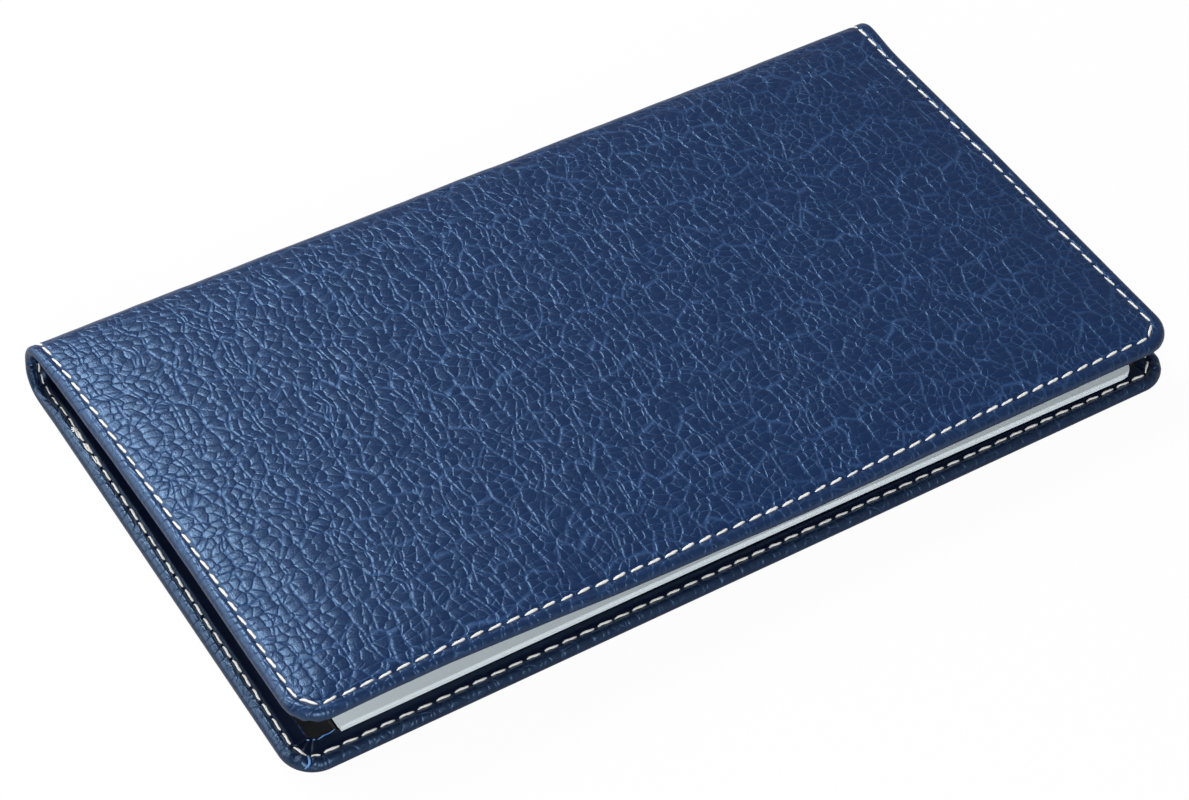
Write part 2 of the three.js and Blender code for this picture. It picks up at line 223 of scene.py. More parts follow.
# ---------------------------------------------------------------- mesh helpers
def new_piece(name, points, faces, materials, uv=None, which=None, smooth=True, attributes=None):
    """A mesh object of points in mm. which gives each face's material, uv and attributes go by point."""
    mesh = bpy.data.meshes.new(name)
    mesh.from_pydata((np.asarray(points) * MM).tolist(), [], faces)
    for m in materials:
        mesh.materials.append(m)
    if which is not None:
        mesh.polygons.foreach_set("material_index", np.asarray(which, np.int32))
    mesh.polygons.foreach_set("use_smooth", np.full(len(mesh.polygons), smooth))
    if uv is not None:
        loops = np.zeros(len(mesh.loops), np.int32)
        mesh.loops.foreach_get("vertex_index", loops)
        layer = mesh.uv_layers.new(name="UVMap")
        layer.data.foreach_set("uv", np.asarray(uv, np.float32)[loops].ravel())
    for key, values in (attributes or {}).items():
        layer = mesh.attributes.new(key, "FLOAT", "POINT")
        layer.data.foreach_set("value", np.asarray(values, np.float32))
    mesh.validate()
    mesh.update()
    piece = bpy.data.objects.new(name, mesh)
    bpy.context.scene.collection.objects.link(piece)
    return piece


def flipped(faces):
    return [f[::-1] for f in faces]


def tube_faces(base, along, around):
    """Faces of a closed tube of along steps and around sides, whose points start at base."""
    faces = []
    for i in range(along):
        a = base + i * around
        for j in range(around):
            k = (j + 1) % around
            faces.append((a + j, a + k, a + around + k, a + around + j))
    faces.append(tuple(base + j for j in range(around))[::-1])
    faces.append(tuple(base + along * around + j for j in range(around)))
    return faces


def slab_faces(nx, ny):
    """Faces of a closed slab of two layers, each a grid of nx by ny cells."""
    w, layer = nx + 1, (nx + 1) * (ny + 1)
    faces = []
    for j in range(ny):
        for i in range(nx):
            a = j * w + i
            faces.append((a, a + 1, a + w + 1, a + w))
            faces.append((layer + a, layer + a + w, layer + a + w + 1, layer + a + 1))
    rim = [*range(nx), *(nx + j * w for j in range(ny)),
           *(ny * w + i for i in range(nx, 0, -1)), *(j * w for j in range(ny, 0, -1))]
    for a, b in zip(rim, rim[1:] + rim[:1]):
        faces.append((b, a, layer + a, layer + b))
    return faces


def cosine_steps(count):
    """Places from 0 to 1 that lie closer together at both ends."""
    return (1 - np.cos(np.linspace(0, np.pi, count + 1))) / 2


def corner_pull(corner, e):
    """How far a corner of that radius draws the side in, e from the end."""
    return corner - math.sqrt(max(0, corner ** 2 - max(0, corner - e) ** 2))


# ---------------------------------------------------------------- materials
def srgb(r, g, b):
    c = np.array([r, g, b]) / 255
    c = np.where(c <= 0.04045, c / 12.92, ((c + 0.055) / 1.055) ** 2.4)
    return (*[float(v) for v in c], 1.0)


def grey(v):
    return (v, v, v, 1.0)


class Graph:
    """The node tree of a material or world, with a short call for each kind of node."""

    def __init__(self, owner):
        owner.use_nodes = True
        self.owner = owner
        self.nodes = owner.node_tree.nodes

    def feed(self, socket, value):
        """Gives a socket its number or colour, or links it to an output."""
        if isinstance(value, bpy.types.NodeSocket):
            self.owner.node_tree.links.new(value, socket)
        else:
            socket.default_value = value

    def node(self, kind, inputs=None, **settings):
        n = self.nodes.new(kind)
        for key, value in settings.items():
            setattr(n, key, value)
        for key, value in (inputs or {}).items():
            self.feed(n.inputs[key], value)
        return n

    def surface(self, values):
        for key, value in values.items():
            self.feed(self.nodes["Principled BSDF"].inputs[key], value)

    def object_place(self):
        return self.node("ShaderNodeTexCoord").outputs["Object"]

    def attribute(self, name):
        return self.node("ShaderNodeAttribute", attribute_name=name).outputs["Fac"]

    def calc(self, operation, a, b=None, clamp=False):
        inputs = {0: a} if b is None else {0: a, 1: b}
        return self.node("ShaderNodeMath", inputs, operation=operation, use_clamp=clamp).outputs[0]

    def product(self, *values):
        out = values[0]
        for value in values[1:]:
            out = self.calc("MULTIPLY", out, value)
        return out

    def total(self, *terms):
        """The sum of (value, weight) terms."""
        out = None
        for value, weight in terms:
            part = self.product(value, weight)
            out = part if out is None else self.calc("ADD", out, part)
        return out

    def vector(self, operation, *values):
        return self.node("ShaderNodeVectorMath", dict(enumerate(values)), operation=operation).outputs[0]

    def noise(self, vector, scale, detail=3.0, rough=0.55, output="Fac"):
        inputs = {"Vector": vector, "Scale": scale, "Detail": detail, "Roughness": rough}
        return self.node("ShaderNodeTexNoise", inputs).outputs[output]

    def ramp(self, source, *stops):
        n = self.node("ShaderNodeValToRGB", {0: source})
        elements = n.color_ramp.elements
        while len(elements) < len(stops):
            elements.new(0.5)
        for element, (at, colour) in zip(elements, stops):
            element.position = at
            element.color = colour
        return n.outputs[0]

    def mix(self, share, a, b):
        return self.node("ShaderNodeMix", {0: share, 6: a, 7: b}, data_type="RGBA").outputs[2]

    def bump(self, height, distance):
        """Bumps the surface by a height, in units of distance metres."""
        n = self.node("ShaderNodeBump", {"Height": height, "Distance": distance, "Strength": 1.0})
        self.surface({"Normal": n.outputs[0]})


UV_SCALE = 0.004     # UV units for each millimetre of unfolded leather
LEATHER_IOR = 1.54
LEATHER_TINT = (0.38, 0.64, 1.0, 1.0)    # colour of the leather's sheen
FLOW, RAGGED = 3.0, 0.35                 # how far the grain is bent by wide and by fine noise, in mm


def leather_material(name, shine):
    """Pebbled leather by the mesh's weights: grain where it shows, a painted highlight on the crest, a dark
    inner side and painted shade on rim and hem.
    """
    g = Graph(bpy.data.materials.new(name))
    uv = g.node("ShaderNodeUVMap", uv_map="UVMap").outputs[0]
    mm = g.vector("MULTIPLY", uv, (0.8 / UV_SCALE, 1 / UV_SCALE, 1 / UV_SCALE))
    warped = g.vector("MULTIPLY_ADD", g.noise(mm, 0.11, 1, 0.5, "Color"), (FLOW,) * 3, mm)
    warped = g.vector("MULTIPLY_ADD", g.noise(mm, 0.8, 2, 0.5, "Color"), (RAGGED,) * 3, warped)
    stretched = g.vector("MULTIPLY", warped, (1.0, 0.4, 1.0))

    def voronoi(size, feature, vector):
        inputs = {"Vector": vector, "Scale": 1 / size, "Randomness": 0.8}
        cells = g.node("ShaderNodeTexVoronoi", inputs, voronoi_dimensions="2D", feature=feature)
        return cells.outputs["Distance"]

    def crease(size, width, vector=warped):
        """0 in the creases between cells of that size in mm and 1 on the cells."""
        far = g.product(voronoi(size, "DISTANCE_TO_EDGE", vector), size / width)
        return g.calc("SMOOTH_MIN", far, 1.0)

    def pillow(size):
        """Round-topped cells that meet in valleys, in mm for each mm of height."""
        near = voronoi(size, "F1", warped)
        return g.calc("SUBTRACT", 1.0, g.product(near, near))

    def patchy(mask, scale, shallow, deep):
        """A crease mask whose creases run shallow and deep, by noise."""
        depth = g.ramp(g.noise(mm, scale, 2), (0.35, grey(shallow)), (0.65, grey(deep)))
        gap = g.calc("SUBTRACT", 1.0, mask)
        return g.calc("SUBTRACT", 1.0, g.product(gap, depth))

    grain = g.attribute("grain")
    long_crease = patchy(crease(2.9, 0.26, stretched), 0.16, 0.35, 1.0)
    cell = patchy(crease(1.6, 0.2), 0.35, 0.12, 1.0)
    fine = patchy(crease(0.75, 0.11), 0.5, 0.0, 0.6)
    pores = g.noise(mm, 3.4, 3, 0.6)
    # Heights in millimetres
    height = g.total((long_crease, 0.085), (cell, 0.066), (fine, 0.02), (pillow(1.6), 0.15), (pores, 0.042))
    g.bump(g.product(height, grain), MM)

    tops = g.product(cell, g.product(long_crease, fine))
    # The creases are painted lighter than the cells: a painted highlight for crease walls that catch the light
    crease_highlight, base, light = srgb(45, 77, 125), srgb(2, 28, 71), srgb(5, 37, 89)
    colour = g.ramp(tops, (0.0, crease_highlight), (0.8, base), (1.0, base))
    colour = g.mix(g.product(g.noise(mm, 0.09, 2), 0.5), colour, light)
    colour = g.mix(grain, base, colour)
    # A painted highlight along the crest of the rolled edge, patchy by noise
    crest_highlight = g.product(g.attribute("crest"), g.noise(mm, 0.5, 4, 0.7))
    colour = g.mix(crest_highlight, colour, srgb(46, 74, 122))
    # The inside weight darkens towards near black: the hidden inner side's own colour, and painted shade on the
    # rolled edge, the hem and the face by the rim
    g.surface({
        "Base Color": g.mix(g.attribute("inside"), colour, srgb(4, 8, 32)),
        "Roughness": g.ramp(tops, (0.0, grey(0.5)), (0.5, grey(0.37)), (1.0, grey(0.31))),
        "IOR": LEATHER_IOR,
        "Specular IOR Level": shine,
        "Specular Tint": LEATHER_TINT,
    })
    return g.owner


def raw_edge_material():
    g = Graph(bpy.data.materials.new("cut_leather_edge"))
    place = g.object_place()
    colour = g.ramp(g.noise(place, 260, 4), (0.0, srgb(6, 10, 28)), (0.56, srgb(8, 14, 38)),
                    (0.62, srgb(50, 104, 190)), (1.0, srgb(90, 150, 225)))
    g.surface({"Base Color": colour, "Roughness": 0.8})
    g.bump(g.noise(place, 3000, 3), 0.0001)
    return g.owner


def thread_material():
    g = Graph(bpy.data.materials.new("white_thread"))
    place = g.object_place()
    colour = g.ramp(g.noise(place, 900, 3), (0.3, srgb(246, 244, 236)), (0.6, srgb(255, 255, 252)))
    g.surface({"Base Color": colour, "Roughness": 0.55, "Sheen Weight": 0.3})
    g.bump(g.noise(place, 6000, 2), 0.00006)
    return g.owner


def blue_strand_material():
    g = Graph(bpy.data.materials.new("blue_strand"))
    mottle = g.noise(g.object_place(), 900, 3)
    colour = g.ramp(mottle, (0.3, srgb(60, 120, 200)), (0.7, srgb(130, 180, 235)))
    g.surface({"Base Color": colour, "Roughness": 0.5})
    return g.owner


def plain(name, dark, light, scale, rough, grain_scale, grain_depth, metallic=0.0):
    """A finish with mottled colour, varying roughness and a fine bump."""
    g = Graph(bpy.data.materials.new(name))
    place = g.object_place()
    mottle = g.noise(place, scale, 4)
    g.surface({
        "Base Color": g.ramp(mottle, (0.3, dark), (0.7, light)),
        "Roughness": g.ramp(mottle, (0.2, grey(rough * 0.85)), (0.8, grey(min(1, rough * 1.15)))),
        "Metallic": metallic,
    })
    g.bump(g.noise(place, grain_scale, 3), grain_depth)
    return g.owner


# A leaf's printed boxes: their size, how far they reach from the middle and the rule's width, in mm
GRID = ((20.0, 70.0), (14.0, 35.0))
RULE = 0.28


def paper_material():
    """Leaf paper with the plain ruled boxes of a calendar page."""
    g = Graph(plain("leaf_paper", srgb(229, 240, 246), srgb(235, 244, 249), 30, 0.75, 3000, 0.00002))
    split = g.node("ShaderNodeSeparateXYZ", {0: g.object_place()})
    on_line, inside = [], []
    for axis, (pitch, reach) in enumerate(GRID):
        place = g.product(split.outputs[axis], 1 / MM)
        shifted = g.calc("ADD", place, reach + RULE / 2)
        on_line.append(g.calc("LESS_THAN", g.calc("FLOORED_MODULO", shifted, pitch), RULE))
        inside.append(g.calc("LESS_THAN", g.calc("ABSOLUTE", place), reach + RULE / 2))
    ruled = g.product(g.calc("MAXIMUM", *on_line), g.product(*inside))
    paper = g.nodes["Principled BSDF"].inputs["Base Color"].links[0].from_socket
    g.surface({"Base Color": g.mix(ruled, paper, srgb(138, 152, 172))})
    return g.owner


LEATHER = leather_material("navy_leather", 1.0)
HEM_LEATHER = leather_material("navy_leather_hem", 0.4)
RAW_EDGE = raw_edge_material()
THREAD = thread_material()
BLUE = blue_strand_material()
PANEL = plain("black_gloss_panel", srgb(8, 8, 10), srgb(14, 14, 17), 60, 0.16, 500, 0.00004)
LINING = plain("black_lining", srgb(14, 14, 17), srgb(26, 26, 30), 300, 0.8, 4000, 0.00008)
BOARD = plain("grey_board", srgb(120, 112, 100), srgb(150, 142, 128), 200, 0.9, 2500, 0.00005)
FOAM = plain("foam_padding", srgb(200, 198, 190), srgb(226, 224, 216), 500, 0.95, 3500, 0.0001)
CARD = plain("white_card", srgb(222, 224, 222), srgb(234, 236, 234), 40, 0.7, 2500, 0.00002)
PAPER = paper_material()
WIRE = plain("steel_wire", srgb(150, 152, 156), srgb(190, 192, 196), 800, 0.3, 4000, 0.00001, 1.0)


# ---------------------------------------------------------------- camera
CAMERA_AT = (-0.218585, -0.301534, 0.404536)
CAMERA_RIGHT = (0.84559, -0.53088, 0.05606)
CAMERA_AHEAD = (0.39240, 0.54693, -0.73952)
LENS, SENSOR = 98.12, 36


def make_camera():
    right = Vector(CAMERA_RIGHT).normalized()
    ahead = Vector(CAMERA_AHEAD)
    ahead = (ahead - right * ahead.dot(right)).normalized()
    data = bpy.data.cameras.new("camera")
    data.lens = LENS
    data.sensor_width = SENSOR
    data.sensor_fit = "HORIZONTAL"
    data.clip_start, data.clip_end = 0.01, 20
    cam = bpy.data.objects.new("camera", data)
    bpy.context.scene.collection.objects.link(cam)
    m = Matrix((right, right.cross(ahead), -ahead)).transposed().to_4x4()
    m.translation = Vector(CAMERA_AT)
    cam.matrix_world = m
    bpy.context.scene.camera = cam


make_camera()


# ---------------------------------------------------------------- leather
INNER = 8.0        # the even grid of the face starts this far in from the border
ARC_INNER = 7.0    # the stretch of that grid's rim that the corner's arc takes up
SQUARE_RUN = 47.0  # and from where its columns run straight out again
HALF_ARC = CORNER * math.pi / 4
CALM_FROM, CALM_RUN = 5.0, 4.5   # the lumps die out from here before the middle of the spine


def rim_run(u):
    """Distance along the border from a corner's middle, for a node u along the grid's rim."""
    far = u + INNER - CORNER + HALF_ARC
    end = SQUARE_RUN + INNER - CORNER + HALF_ARC
    middle = HALF_ARC + (u - ARC_INNER) * (end - HALF_ARC) / (SQUARE_RUN - ARC_INNER)
    return np.where(u < ARC_INNER, u * HALF_ARC / ARC_INNER, np.where(u < SQUARE_RUN, middle, far))


def calm(s):
    """How much the leather's lumps show: they die out before the join at the middle of the spine."""
    return 1 - ease((s - MIDDLE + CALM_FROM) / CALM_RUN)


def border_point(u, along_front):
    """Border point and inward normal of a node u along the grid's rim from its left corner."""
    v = float(rim_run(np.array(u)))
    cx = HALF_LENGTH - CORNER
    if v < HALF_ARC:
        a = math.pi / 4 * (1 + (v if along_front else -v) / HALF_ARC)
        return (-cx - CORNER * math.cos(a), CORNER - CORNER * math.sin(a)), (math.cos(a), math.sin(a))
    if along_front:
        return (-cx + v - HALF_ARC, 0.0), (0.0, 1.0)
    return (-HALF_LENGTH, CORNER + v - HALF_ARC), (1.0, 0.0)


def border_columns(xs, ss):
    """Inner node, border point and inward normal of each column, from the left cut round to the right cut."""
    left = [((xs[0], s), *border_point(s - INNER, False)) for s in ss[::-1]]
    left += [((x, ss[0]), *border_point(x - xs[0], True)) for x in xs[1:len(xs) // 2 + 1]]
    right = [((-i[0], i[1]), (-b[0], b[1]), (-n[0], n[1])) for i, b, n in left[:-1]][::-1]
    return [np.array(part) for part in zip(*(left + right))]


# Rings of the skin: the angles of its rolled edge, and their distances from the border on each side of it
ROUND = np.radians([0, 15, 30, 45, 60, 75, 90])
OUTER_N = [1.6, 1.75, 1.9, 2.03, 2.17, 2.3, 2.45, 2.65, 2.9, 3.2, 3.6, 4.1, 4.7, 5.4, 6.1, 6.8, 7.4]
HEM_N = [1.6, 1.75, 1.9, 2.03, 2.17, 2.3, 2.5, 2.8, 3.2, 3.7, 4.2, 4.7]
NORMAL_RUN = 3.5            # rings run square to the border up to here, then towards the grid
RETURN_N = 1.2              # where the hidden return under the hem ends
CUT_SLOPE, CUT_DROP = 0.1, 0.12            # how far the hem's cut edge slopes, and its top lies under the hem
CUT_BANDS = range(1, 4)     # bands between two rings that show the cut edge
HEM_BANDS = range(4, 12)    # and the duller leather of the hem
GROOVE, GROOVE_WIDTH = 0.3, 0.32           # groove of the seam on the outer face and on the hem
HEM_GROOVE, HEM_GROOVE_WIDTH = 0.26, 0.4
ACROSS = 29                 # points across the join at the middle of the spine, on the skin's underside

# Unevenness of the leather: heights and sizes of its lumps, and how little of them the rim shows
LUMP, LUMP_SIZE = 0.03, 2.6
SWELL, SWELL_SIZE = 0.05, 8
RIM_UNEVEN = 0.25
UNEVEN_RISE = 0.5, 4
HEM_LUMP, HEM_LUMP_SIZE = 0.05, 1.8
ROLL_LUMP, ROLL_LUMP_SIZE = 0.06, 2.4
HEM_WAVES = ((0.35, 7, 4), (0.12, 1.6, 5))  # of the hem's width, as (height, size, added to the seed)
HEM_SINK, ROLL_SINK = 0.05, 0.03           # how far the hem and the rolled edge lie under their plan
DROOP = 0.10                               # how much deeper the hem lies at its cut edge
DROOP_RISE = 4.2, 0.8
PLEAT_MIDDLE, PLEAT_SPREAD, PLEATS = 45, 38, 15    # pleats at a corner, by the border's turn in degrees
HEM_PLEAT, HEM_PLEAT_FROM, HEM_PLEAT_RUN = 0.16, 0.6, 2
ROLL_PLEAT = 0.3

# Painted weights: grain, and painted shade and highlight on the rim and hem
RIM_GRAIN = 0.8             # how much of the grain shows on the rim, and where it changes
HEM_GRAIN_FADE = 1.4, 1.0
FACE_GRAIN_RISE = 2.0, 0.6
RIM_SHADE = {front: 0.48, back: 0.72}       # how much painted shade darkens the rolled edge, more on the back cover, and where that changes
RIM_TOP_SHADE_LOSS = 0.35
HEM_SHADE_RISE = 1.7, 0.5
FACE_SHADE_FADE = 1.2, 1.3
CREST_HIGHLIGHT = 0.4                 # how much painted highlight the top of the rolled edge gets
UV_TURN = 1.6               # how far the grain runs on from the border to the hem


class Skin:
    """Points of one cover's leather with their depth, texture place and painted weights."""

    def __init__(self):
        self.rows = {key: [] for key in ("xy", "depth", "uv", "crest", "grain", "inside")}

    def add(self, xy, depth, uv, crest, grain, inside):
        one = np.ones(len(xy))
        for key, value in zip(self.rows, (xy, depth * one, uv, crest * one, grain * one, inside * one)):
            self.rows[key].append(value)

    def all(self, key):
        return np.concatenate(self.rows[key])


def face_depth(xy, n, domed, seed):
    """Depth of the outer face, n in from the border: the seam's groove, the crown and the leather's lumps."""
    x, s = xy[:, 0], xy[:, 1]
    d = GROOVE * np.exp(-((n - seam_in(x)) / GROOVE_WIDTH) ** 2)
    if domed:
        d = d - crown(x, s)
    lumps = LUMP * (1 + value_noise(x, s, LUMP_SIZE, seed))
    swells = SWELL * value_noise(x, s, SWELL_SIZE, seed + 3) + SWELL
    share = RIM_UNEVEN + (1 - RIM_UNEVEN) * rise(n, UNEVEN_RISE)
    return d + (lumps + swells) * share * calm(s)


def skin_rings(skin, place, inner, edge, normal, seed):
    """Adds the rings of points from the hidden return round the rolled edge to the face's even grid."""
    # dark is the painted shade on the rolled edge, deeper on the back cover
    domed, dark = place is front, RIM_SHADE[place]
    one = np.ones(len(edge))
    thick = thickness(edge[:, 1])
    less = slim(*edge.T) if domed else 0 * one
    rb = (thick - less) / 2
    still = calm(edge[:, 1])
    run = np.concatenate([[0], np.cumsum(np.hypot(*np.diff(edge, axis=0).T))])
    hem = HEM + still * sum(height * value_noise(run, 0 * run, size, seed + k) for height, size, k in HEM_WAVES)
    turn = np.degrees(np.arctan2(normal[:, 1], np.abs(normal[:, 0])))
    at_corner = np.exp(-((turn - PLEAT_MIDDLE) / PLEAT_SPREAD) ** 2) * ((turn > 0.5) & (turn < 89.5))
    pleat = at_corner * np.sin(np.radians(turn) * PLEATS)

    def at(n):
        return edge + normal * np.reshape(n, (-1, 1))

    def hem_uv(n):
        return edge - normal * (np.reshape(n, (-1, 1)) + UV_TURN)

    # The hidden return and the hem's cut edge
    tip = RETURN_N * one
    for n, uv_n, depth in ((tip, tip, SKIN * one), (tip, tip, thick - HEM_SKIN),
                           (hem - CUT_SLOPE, hem, thick - HEM_SKIN), (hem, hem, thick - CUT_DROP)):
        skin.add(at(n), depth, hem_uv(uv_n), 0, 0, 1)
    # The hem, with painted shade that grows to full just inside the rim
    for n in HEM_N[::-1]:
        n = n * hem / HEM
        groove = HEM_GROOVE * np.exp(-((n - seam_in(edge[:, 0] - SEAM)) / HEM_GROOVE_WIDTH) ** 2)
        lumps = HEM_LUMP * still * value_noise(run, n, HEM_LUMP_SIZE, seed + 6)
        folds = HEM_PLEAT * pleat * np.clip((n - HEM_PLEAT_FROM) / HEM_PLEAT_RUN, 0, 1)
        droop = DROOP * rise(n, DROOP_RISE)
        depth = thick - less * slim_share(n) - (groove + lumps + folds + droop) - HEM_SINK
        grain = RIM_GRAIN * (1 - rise(n, HEM_GRAIN_FADE))
        skin.add(at(n), depth, hem_uv(n), 0, grain, dark + (1 - dark) * rise(n, HEM_SHADE_RISE))
    # The rolled edge, up to its crest and over it, with painted shade that eases on the crest, where a painted
    # highlight lies
    for a in ROUND[:0:-1]:
        n = rb * (1 - np.cos(a))
        lump = ROLL_LUMP * still * value_noise(run, 0 * run + a * 2, ROLL_LUMP_SIZE, seed + 7) * math.sin(a)
        crumple = ROLL_PLEAT * pleat * math.sin(a)
        depth = rb + rb * np.sin(a) - lump - crumple - ROLL_SINK * math.sin(a)
        skin.add(at(n), depth, hem_uv(n - 1), 0, RIM_GRAIN, dark)
    for a in ROUND:
        n = rb * (1 - np.cos(a))
        xy = at(n)
        top = math.sin(a) ** 2
        depth = rb - rb * np.sin(a) + face_depth(xy, n, domed, seed) * math.sin(a)
        skin.add(xy, depth, xy, CREST_HIGHLIGHT * top, RIM_GRAIN, dark - RIM_TOP_SHADE_LOSS * top)
    # The outer face, with painted shade by the rim that fades inward
    for n in OUTER_N:
        xy = at(min(n, NORMAL_RUN))
        if n > NORMAL_RUN:
            xy = xy + (inner - xy) * ((n - NORMAL_RUN) / (INNER - NORMAL_RUN))
        grain = RIM_GRAIN + (1 - RIM_GRAIN) * rise(n, FACE_GRAIN_RISE)
        inside = (dark - RIM_TOP_SHADE_LOSS) * (1 - rise(n, FACE_SHADE_FADE))
        skin.add(xy, face_depth(xy, border(xy[:, 0], xy[:, 1]), domed, seed), xy, 0, grain, inside)
    return at(tip)


def underside(outline, fill):
    """Fills an outline with triangles over points inside it: corners, triangles, and each corner's origins."""
    edges = [(i, (i + 1) % len(outline)) for i in range(len(outline))]
    points = [Vector(p) for p in outline + fill]
    verts, _, tris, orig, _, _ = delaunay_2d_cdt(points, edges, [], 1, 1e-5)
    return np.array([tuple(v) for v in verts]), tris, orig


def leather_half(name, place, step, seed):
    """One cover's leather with its half of the fold, as one closed skin. step is its grid's cell in mm."""
    half = HALF_LENGTH - INNER
    xs = np.linspace(-half, half, int(round(2 * half / step / 2)) * 2 + 1)
    ss = np.linspace(INNER, MIDDLE, int(round((MIDDLE - INNER) / step)) + 1)
    inner, edge, normal = border_columns(xs, ss)
    skin = Skin()
    loop = skin_rings(skin, place, inner, edge, normal, seed)
    count, rings = len(edge), len(skin.rows["xy"])
    flat = np.stack([part.ravel() for part in np.meshgrid(xs, ss)], -1)
    skin.add(flat, face_depth(flat, border(flat[:, 0], flat[:, 1]), place is front, seed), flat, 0, 1, 0)
    base, columns, rows = rings * count, len(xs), len(ss)

    def ring(k, i):
        return k * count + i

    def grid(i, j):
        return base + j * columns + i

    rim = [grid(0, j) for j in range(rows - 1, -1, -1)]
    rim += [grid(i, 0) for i in range(1, columns)]
    rim += [grid(columns - 1, j) for j in range(1, rows)]
    faces, which = [], []
    for k in range(rings - 1):
        for i in range(count - 1):
            faces.append((ring(k, i), ring(k, i + 1), ring(k + 1, i + 1), ring(k + 1, i)))
        which += [1 if k in CUT_BANDS else 2 if k in HEM_BANDS else 0] * (count - 1)
    for i in range(count - 1):
        faces.append((ring(rings - 1, i), ring(rings - 1, i + 1), rim[i + 1], rim[i]))
    for j in range(rows - 1):
        for i in range(columns - 1):
            faces.append((grid(i, j), grid(i + 1, j), grid(i + 1, j + 1), grid(i, j + 1)))

    # The skin's own underside, from the innermost ring across
    outline = [tuple(p) for p in loop]
    outline += [(x, MIDDLE) for x in np.linspace(outline[-1][0], outline[0][0], ACROSS + 2)[1:-1]]
    fill_s = [*np.arange(6, TOP, 6), *np.arange(TOP, MIDDLE - 0.5, 0.9)]
    fill = [(x, s) for s in fill_s for x in np.linspace(-80, 80, 28)]
    under, tris, orig = underside(outline, fill)
    names, new_xy, lookup = [], [], {}
    for k, source in enumerate(orig):
        if source and min(source) < count:
            names.append(ring(0, min(source)))
        else:
            names.append(base + len(flat) + len(new_xy))
            new_xy.append(under[k])
        for q in source:
            lookup[q] = names[k]
    new_xy = np.array(new_xy)
    new_h = SKIN * np.ones(len(new_xy))
    if place is front:
        new_h = new_h - dome(new_xy[:, 0], new_xy[:, 1])
    skin.add(new_xy, new_h, new_xy, 0, 0, 1)
    faces += [tuple(names[i] for i in t) for t in tris]
    # The flat face at the middle of the spine
    cut = [ring(k, count - 1) for k in range(rings)] + [grid(i, rows - 1) for i in range(columns - 1, -1, -1)]
    cut += [ring(k, 0) for k in range(rings - 1, -1, -1)]
    cut += [lookup[count + ACROSS - 1 - k] for k in range(ACROSS)]
    faces.append(tuple(cut))
    which += [0] * (len(faces) - len(which))
    points = place(*skin.all("xy").T, skin.all("depth"))
    weights = {key: skin.all(key) for key in ("crest", "grain", "inside")}
    return new_piece(name, points, flipped(faces) if place is back else faces, [LEATHER, RAW_EDGE, HEM_LEATHER],
                     uv=skin.all("uv") * UV_SCALE + 0.5, which=which, attributes=weights)


def bend_with(piece, cover_body):
    """Bakes a piece's place into its points. It works out where the leather turns on the cover and on the
    spine, but nothing uses those places and the piece is not bent.
    """
    y, z = FOLD_Y, FOLD_Y + (BLEND_FROM + BLEND_TO) / 2
    half = (BLEND_TO - BLEND_FROM) / 4
    spine, cover = (y + half, z - half), (y - half, z + half)
    if cover_body == "back_cover":
        spine, cover = (spine[0], SPINE_HEIGHT - spine[1]), (cover[0], SPINE_HEIGHT - cover[1])
    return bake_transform(piece)


front_leather = leather_half("front_cover_leather", front, 0.5, 11)
bend_with(front_leather, "front_cover")
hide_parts("front_leather", "spine_leather")
back_leather = leather_half("back_cover_leather", back, 0.7, 47)
bend_with(back_leather, "back_cover")
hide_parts("back_leather")


# ---------------------------------------------------------------- seams
PITCH = 3.24
STITCH = 3.08
CORNER_STITCHES = 4.0    # a run of the seam shorter than this is one stitch
CORNER_GAP = 0.12        # which ends this far from its neighbours
OUTER_TURN, INNER_TURN = 14, 3           # how far a stitch is turned off the seam's line, in degrees
OUTER_RADIUS, INNER_RADIUS = 0.235, 0.205
THREAD_ALONG, THREAD_AROUND = 12, 10     # steps and sides of a stitch
SWAY = 0.09                              # how far a stitch sways off its line
ARCH, ARCH_SINK = 0.46, 0.40             # how high a stitch arches, and how deep its ends sink
OUTER_SINK, INNER_SINK = 0.30, 0.24
THREAD_HEIGHT = 0.86                     # a thread's height for its width
PLY, PLY_TURNS = 0.10, 7.5               # how far the two plies stand out, and their twist
TIGHT_S, TIGHT = [80, 86], [1, 0.65]     # the left inner stitches are pulled tight near the fold
STITCH_SCATTER, RADIUS_SCATTER = 0.05, 0.012
TWICE_X, TWICE_S = -80, (71, 80)         # left of here and between these the back seam is sewn over twice
TWICE_START, TWICE_END = (-0.42, 0.5), (-0.30, 0.4)

# How each seam turns its corners, as (in from the side seam, in from the front seam)
PLAIN_TURN = [(0, 2.6), (2.6, 0)]
BACK_LEFT_TURN = [(0, 3.5), (1.4, 0.35), (3.4, 0)]


def seam_path(left_turn):
    """The seam in the unfolded leather, from the left cut to the right cut."""
    x0, x1, s = SEAM - HALF_LENGTH, HALF_LENGTH - seam_in(HALF_LENGTH), SEAM
    left = [(x0 + a, s + b) for a, b in left_turn]
    right = [(x1 - a, s + b) for a, b in PLAIN_TURN[::-1]]
    return np.array([(x0, MIDDLE), *left, *right, (x1, MIDDLE)])


def direction(a, b):
    """Unit vector from a to b, and the one to its left."""
    d = (b - a) / np.hypot(*(b - a))
    return d, np.array([-d[1], d[0]])


def stitches(left_turn, turned):
    """Start and end of each stitch, turned degrees off the seam's line, as points of the unfolded leather."""
    path = seam_path(left_turn)
    slant = math.tan(math.radians(turned)) * STITCH / 2
    out = []
    for a, b in zip(path[:-1], path[1:]):
        length = np.hypot(*(b - a))
        d, side = direction(a, b)
        if length < CORNER_STITCHES:
            out.append((a + d * CORNER_GAP, b - d * CORNER_GAP))
            continue
        n = max(1, int(round(length / PITCH)))
        pitch = length / n
        for i in range(n):
            start = pitch * i + (pitch - STITCH) / 2
            out.append((a + d * start - side * slant, a + d * (start + STITCH) + side * slant))
    return out


